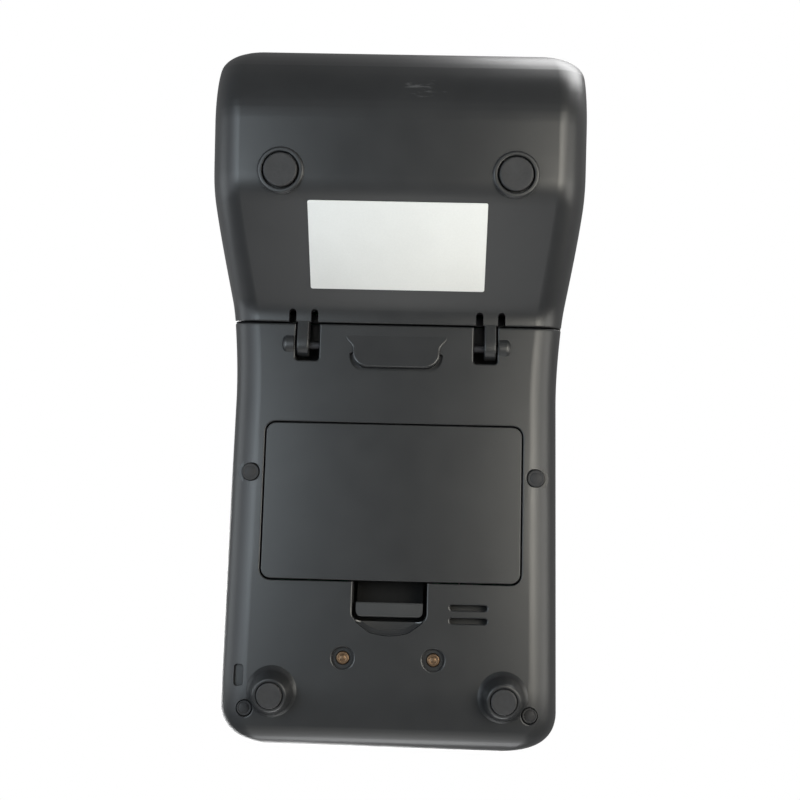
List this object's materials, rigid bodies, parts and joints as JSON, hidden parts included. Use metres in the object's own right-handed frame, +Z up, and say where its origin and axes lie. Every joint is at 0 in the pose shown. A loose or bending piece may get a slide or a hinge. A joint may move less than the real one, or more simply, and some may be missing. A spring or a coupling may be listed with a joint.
{
  "type": "card payment terminal",
  "caption": "Handheld card payment terminal with keypad, screen, card slot and a receipt printer under a hinged cover, standing on its feet",
  "frame": {"origin": "centre of the bounding box at its base, on the table under the feet", "axes": "+Z up, the user at -Y, the printer's hump at +Y, +X to the user's right"},
  "size_m": [0.0798, 0.15, 0.0551],
  "materials": {
    "rear_housing": "fine satin texture",
    "front_housing": "fine satin texture",
    "printer_cover": "fine satin texture",
    "battery_cover": "fine satin texture",
    "upper_foot_right": "matte",
    "upper_foot_left": "matte",
    "lower_foot_right": "matte",
    "lower_foot_left": "matte",
    "side_plug_right": "matte",
    "side_plug_left": "matte",
    "corner_plug_right": "matte",
    "corner_plug_left": "matte",
    "hinge_pin_right": "plain",
    "hinge_pin_left": "plain",
    "side_screw_right": "plain",
    "side_screw_left": "plain",
    "corner_screw_right": "plain",
    "corner_screw_left": "plain",
    "charge_contact_right": "gilt",
    "platen_bushing_right": "plain",
    "charge_contact_left": "gilt",
    "platen_bushing_left": "plain",
    "battery_latch": "plain",
    "battery_pack": "plain",
    "speaker": "plain",
    "display_module": "plain",
    "card_reader": "plain",
    "paper_bucket": "plain",
    "platen_shaft": "plain",
    "motor_pinion": "plain",
    "printer_frame": "plain",
    "print_head": "plain",
    "stepper_motor": "plain",
    "tear_bar": "plain",
    "keypad_board": "solder mask",
    "main_board": "solder mask",
    "antenna_loop": "solder mask",
    "platen_gear": "plain",
    "idler_gear": "plain",
    "keypad_mat": "plain",
    "label": "matte white",
    "paper_roll": "plain",
    "platen_roller": "matte",
    "display_lens": "glossy black",
    "key_cancel": "satin",
    "key_clear": "satin",
    "key_enter": "satin",
    "key_star": "satin",
    "key_0": "satin",
    "key_hash": "satin",
    "key_7": "satin",
    "key_8": "satin",
    "key_9": "satin",
    "key_4": "satin",
    "key_5": "satin",
    "key_6": "satin",
    "key_1": "satin",
    "key_2": "satin",
    "key_3": "satin"
  },
  "bodies": {
    "terminal": {"rear_housing": "rear_housing", "front_housing": "front_housing", "lower_foot_right": "lower_foot_right", "lower_foot_left": "lower_foot_left", "side_plug_right": "side_plug_right", "side_plug_left": "side_plug_left", "corner_plug_right": "corner_plug_right", "corner_plug_left": "corner_plug_left", "hinge_pin_right": "hinge_pin_right", "hinge_pin_left": "hinge_pin_left", "side_screw_right": "side_screw_right", "side_screw_left": "side_screw_left", "corner_screw_right": "corner_screw_right", "corner_screw_left": "corner_screw_left", "charge_contact_right": "charge_contact_right", "charge_contact_left": "charge_contact_left", "battery_pack": "battery_pack", "speaker": "speaker", "display_module": "display_module", "card_reader": "card_reader", "paper_bucket": "paper_bucket", "printer_frame": "printer_frame", "print_head": "print_head", "stepper_motor": "stepper_motor", "tear_bar": "tear_bar", "keypad_board": "keypad_board", "main_board": "main_board", "antenna_loop": "antenna_loop", "keypad_mat": "keypad_mat", "display_lens": "display_lens"},
    "cover": {"printer_cover": "printer_cover", "label": "label", "upper_foot_right": "upper_foot_right", "upper_foot_left": "upper_foot_left", "platen_bushing_right": "platen_bushing_right", "platen_bushing_left": "platen_bushing_left"},
    "platen": {"platen_roller": "platen_roller", "platen_shaft": "platen_shaft", "platen_gear": "platen_gear"},
    "idler": {"idler_gear": "idler_gear"},
    "pinion": {"motor_pinion": "motor_pinion"},
    "roll": {"paper_roll": "paper_roll"},
    "battery_door": {"battery_cover": "battery_cover"},
    "latch": {"battery_latch": "battery_latch"},
    "button_cancel": {"key_cancel": "key_cancel"},
    "button_clear": {"key_clear": "key_clear"},
    "button_enter": {"key_enter": "key_enter"},
    "button_star": {"key_star": "key_star"},
    "button_0": {"key_0": "key_0"},
    "button_hash": {"key_hash": "key_hash"},
    "button_7": {"key_7": "key_7"},
    "button_8": {"key_8": "key_8"},
    "button_9": {"key_9": "key_9"},
    "button_4": {"key_4": "key_4"},
    "button_5": {"key_5": "key_5"},
    "button_6": {"key_6": "key_6"},
    "button_1": {"key_1": "key_1"},
    "button_2": {"key_2": "key_2"},
    "button_3": {"key_3": "key_3"}
  },
  "joints": [
    {"name": "cover_hinge", "type": "hinge", "parent": "terminal", "child": "cover", "pos_m": [0, 0.01003, 0.01952], "axis": [-1, 0, 0], "range_deg": [0, 100]},
    {"name": "platen_spin", "type": "hinge", "parent": "cover", "child": "platen", "pos_m": [0, 0.065, 0.042], "axis": [1, 0, 0], "continuous": true},
    {"name": "idler_spin", "type": "hinge", "parent": "terminal", "child": "idler", "pos_m": [0, 0.06084, 0.04794], "axis": [1, 0, 0], "continuous": true},
    {"name": "pinion_spin", "type": "hinge", "parent": "terminal", "child": "pinion", "pos_m": [0, 0.05553, 0.04601], "axis": [1, 0, 0], "continuous": true},
    {"name": "roll_spin", "type": "hinge", "parent": "cover", "child": "roll", "pos_m": [0, 0.05, 0.0215], "axis": [1, 0, 0], "continuous": true},
    {"name": "battery_cover_tilt", "type": "hinge", "parent": "terminal", "child": "battery_door", "pos_m": [0, -0.00784, 0.01464], "axis": [1, 0, 0], "range_deg": [0, 35]},
    {"name": "latch_slide", "type": "slide", "parent": "battery_door", "child": "latch", "axis": [0, 0.9848, 0.1736], "range_m": [0, 0.0012], "stiffness_N_per_m": 300, "springref_m": -0.0005},
    {"name": "press_cancel", "type": "slide", "parent": "terminal", "child": "button_cancel", "axis": [0, 0.1736, -0.9848], "range_m": [0, 0.0012], "stiffness_N_per_m": 300, "springref_m": -0.0005},
    {"name": "press_clear", "type": "slide", "parent": "terminal", "child": "button_clear", "axis": [0, 0.1736, -0.9848], "range_m": [0, 0.0012], "stiffness_N_per_m": 300, "springref_m": -0.0005},
    {"name": "press_enter", "type": "slide", "parent": "terminal", "child": "button_enter", "axis": [0, 0.1736, -0.9848], "range_m": [0, 0.0012], "stiffness_N_per_m": 300, "springref_m": -0.0005},
    {"name": "press_star", "type": "slide", "parent": "terminal", "child": "button_star", "axis": [0, 0.1736, -0.9848], "range_m": [0, 0.0012], "stiffness_N_per_m": 300, "springref_m": -0.0005},
    {"name": "press_0", "type": "slide", "parent": "terminal", "child": "button_0", "axis": [0, 0.1736, -0.9848], "range_m": [0, 0.0012], "stiffness_N_per_m": 300, "springref_m": -0.0005},
    {"name": "press_hash", "type": "slide", "parent": "terminal", "child": "button_hash", "axis": [0, 0.1736, -0.9848], "range_m": [0, 0.0012], "stiffness_N_per_m": 300, "springref_m": -0.0005},
    {"name": "press_7", "type": "slide", "parent": "terminal", "child": "button_7", "axis": [0, 0.1736, -0.9848], "range_m": [0, 0.0012], "stiffness_N_per_m": 300, "springref_m": -0.0005},
    {"name": "press_8", "type": "slide", "parent": "terminal", "child": "button_8", "axis": [0, 0.1736, -0.9848], "range_m": [0, 0.0012], "stiffness_N_per_m": 300, "springref_m": -0.0005},
    {"name": "press_9", "type": "slide", "parent": "terminal", "child": "button_9", "axis": [0, 0.1736, -0.9848], "range_m": [0, 0.0012], "stiffness_N_per_m": 300, "springref_m": -0.0005},
    {"name": "press_4", "type": "slide", "parent": "terminal", "child": "button_4", "axis": [0, 0.1736, -0.9848], "range_m": [0, 0.0012], "stiffness_N_per_m": 300, "springref_m": -0.0005},
    {"name": "press_5", "type": "slide", "parent": "terminal", "child": "button_5", "axis": [0, 0.1736, -0.9848], "range_m": [0, 0.0012], "stiffness_N_per_m": 300, "springref_m": -0.0005},
    {"name": "press_6", "type": "slide", "parent": "terminal", "child": "button_6", "axis": [0, 0.1736, -0.9848], "range_m": [0, 0.0012], "stiffness_N_per_m": 300, "springref_m": -0.0005},
    {"name": "press_1", "type": "slide", "parent": "terminal", "child": "button_1", "axis": [0, 0.1736, -0.9848], "range_m": [0, 0.0012], "stiffness_N_per_m": 300, "springref_m": -0.0005},
    {"name": "press_2", "type": "slide", "parent": "terminal", "child": "button_2", "axis": [0, 0.1736, -0.9848], "range_m": [0, 0.0012], "stiffness_N_per_m": 300, "springref_m": -0.0005},
    {"name": "press_3", "type": "slide", "parent": "terminal", "child": "button_3", "axis": [0, 0.1736, -0.9848], "range_m": [0, 0.0012], "stiffness_N_per_m": 300, "springref_m": -0.0005}
  ],
  "couplings": [
    {"joint": "idler_spin", "follows": "platen_spin", "ratio": -1.25},
    {"joint": "pinion_spin", "follows": "platen_spin", "ratio": 1.6667}
  ]
}
